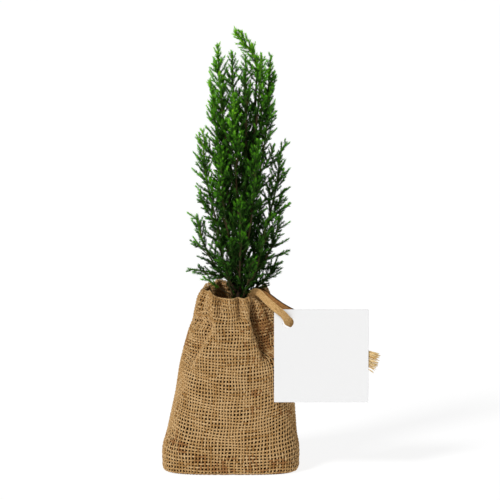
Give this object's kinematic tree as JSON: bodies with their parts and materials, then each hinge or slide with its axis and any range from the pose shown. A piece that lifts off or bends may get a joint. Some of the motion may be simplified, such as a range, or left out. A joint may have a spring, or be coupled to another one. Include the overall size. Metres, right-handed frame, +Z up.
{
  "type": "cypress sapling in burlap sack",
  "caption": "A young columnar cypress with feathery upright plumes, its root ball tied in a small burlap sack with a flat cord and a bare square card tag.",
  "frame": {"origin": "the centre of the sack's flat underside, where it rests on the ground", "axes": "+Z is up along the tree, -Y is the front of the sack, and the tag hangs out on the +X side"},
  "size_m": [0.1533, 0.0612, 0.315],
  "materials": {
    "burlap": "coarse open plain weave of undyed jute, dry and matt, over a hidden inner lining",
    "soil": "dark crumbly potting soil, matt",
    "bark": "thin red-brown bark with fine upright flakes",
    "foliage": "short soft needles, yellow-green at the tips and dark green inside",
    "cord": "flat tan cord of parallel jute strands with frayed ends",
    "card": "smooth plain pale grey card, matt, with nothing printed on it"
  },
  "bodies": {
    "root": {"bough_high_1": "bark", "bough_high_2": "bark", "bough_high_3": "bark", "bough_high_4": "bark", "bough_leader_1": "bark", "bough_leader_2": "bark", "bough_leader_3": "bark", "bough_leader_4": "bark", "bough_leader_5": "bark", "bough_low_1": "bark", "bough_low_2": "bark", "bough_low_3": "bark", "bough_low_4": "bark", "bough_low_5": "bark", "bough_low_6": "bark", "bough_low_7": "bark", "bough_middle_1": "bark", "bough_middle_2": "bark", "bough_middle_3": "bark", "bough_middle_4": "bark", "bough_middle_5": "bark", "bough_middle_6": "bark", "cord_back": "cord", "cord_front": "cord", "foliage_high_1": "foliage", "foliage_high_2": "foliage", "foliage_high_3": "foliage", "foliage_high_4": "foliage", "foliage_leader_1": "foliage", "foliage_leader_2": "foliage", "foliage_leader_3": "foliage", "foliage_leader_4": "foliage", "foliage_leader_5": "foliage", "foliage_low_1": "foliage", "foliage_low_2": "foliage", "foliage_low_3": "foliage", "foliage_low_4": "foliage", "foliage_low_5": "foliage", "foliage_low_6": "foliage", "foliage_low_7": "foliage", "foliage_middle_1": "foliage", "foliage_middle_2": "foliage", "foliage_middle_3": "foliage", "foliage_middle_4": "foliage", "foliage_middle_5": "foliage", "foliage_middle_6": "foliage", "foliage_skirt_1": "foliage", "foliage_skirt_2": "foliage", "foliage_skirt_3": "foliage", "foliage_skirt_4": "foliage", "foliage_skirt_5": "foliage", "foliage_skirt_6": "foliage", "foliage_top": "foliage", "root_ball": "soil", "sack": "burlap", "tag": "card", "tassel_back": "cord", "tassel_front": "cord", "trunk": "bark"}
  },
  "joints": []
}
